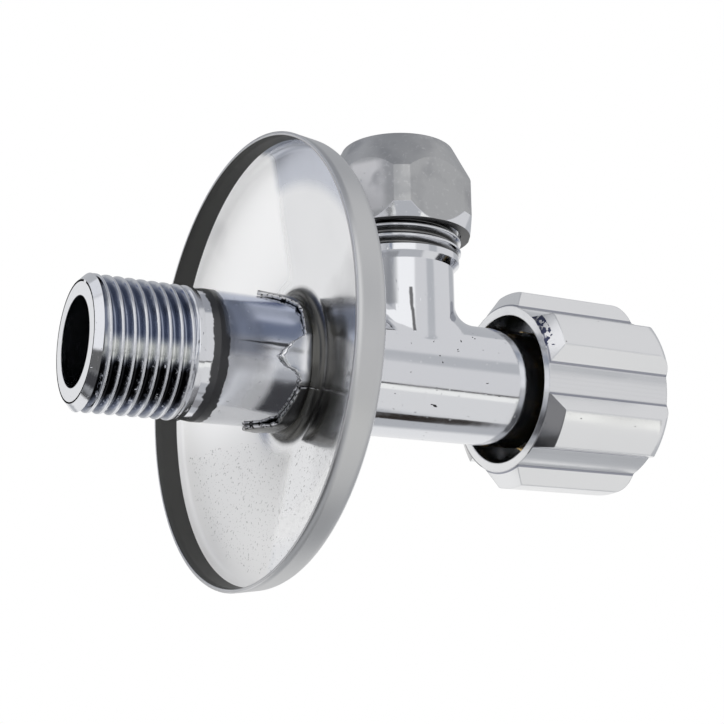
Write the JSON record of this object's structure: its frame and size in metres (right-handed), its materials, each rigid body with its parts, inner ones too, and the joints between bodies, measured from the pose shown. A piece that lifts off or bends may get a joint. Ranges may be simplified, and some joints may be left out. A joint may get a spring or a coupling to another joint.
{
  "type": "isolating valve",
  "caption": "Angle isolating valve with a threaded wall inlet, sliding wall rosette, side outlet with a compression nut, and a fluted turning knob.",
  "frame": {"origin": "on the inlet axis, 16 mm from the inlet end face, at the inner end of the inlet thread, where the mouth of the wall fitting comes", "axes": "+X along the inlet axis, out of the wall towards the knob; +Z along the outlet axis, out of the compression nut; +Y completes the right-handed frame"},
  "size_m": [0.1008, 0.0726, 0.0761],
  "materials": {
    "chromed_brass": "bright chrome plating on turned brass",
    "chromed_sheet": "chrome-plated pressed steel sheet, slightly satin",
    "satin_chromed_brass": "satin chrome plating on turned brass",
    "brass": "plain turned brass",
    "seal_rubber": "black moulded sealing rubber",
    "chromed_plastic": "bright chrome plating on moulded plastic",
    "plated_steel": "zinc-plated steel"
  },
  "bodies": {
    "valve": {"valve_body": "chromed_brass", "headwork_bonnet": "brass", "bonnet_seal_ring": "seal_rubber"},
    "rosette": {"wall_rosette": "chromed_sheet"},
    "disc": {"valve_disc": "brass", "seat_washer": "seal_rubber", "washer_retainer": "brass"},
    "knob_and_spindle": {"spindle": "brass", "spindle_o_rings": "seal_rubber", "knob": "chromed_plastic", "knob_insert": "brass", "knob_screw": "plated_steel", "screw_washer": "plated_steel", "knob_cap": "chromed_plastic"},
    "olive": {"compression_olive": "brass"},
    "nut": {"compression_nut": "satin_chromed_brass"}
  },
  "joints": [
    {"name": "valve_lift", "type": "slide", "parent": "valve", "child": "disc", "axis": [1, 0, 0], "range_m": [0, 0.0045]},
    {"name": "knob_turn", "type": "hinge", "parent": "disc", "child": "knob_and_spindle", "pos_m": [0, 0, 0], "axis": [1, 0, 0], "range_deg": [0, 1080]},
    {"name": "nut_travel", "type": "slide", "parent": "valve", "child": "olive", "axis": [0, 0, 1], "range_m": [0, 0.00726]},
    {"name": "nut_turn", "type": "hinge", "parent": "olive", "child": "nut", "pos_m": [0.04, 0, 0], "axis": [0, 0, 1], "range_deg": [0, 1440]},
    {"name": "rosette_slide", "type": "slide", "parent": "valve", "child": "rosette", "axis": [1, 0, 0], "range_m": [-0.011, 0.0055]}
  ],
  "couplings": [
    {"joint": "knob_turn", "follows": "valve_lift", "rad_per_m": 4188.8},
    {"joint": "nut_turn", "follows": "nut_travel", "rad_per_m": 3463.7}
  ]
}
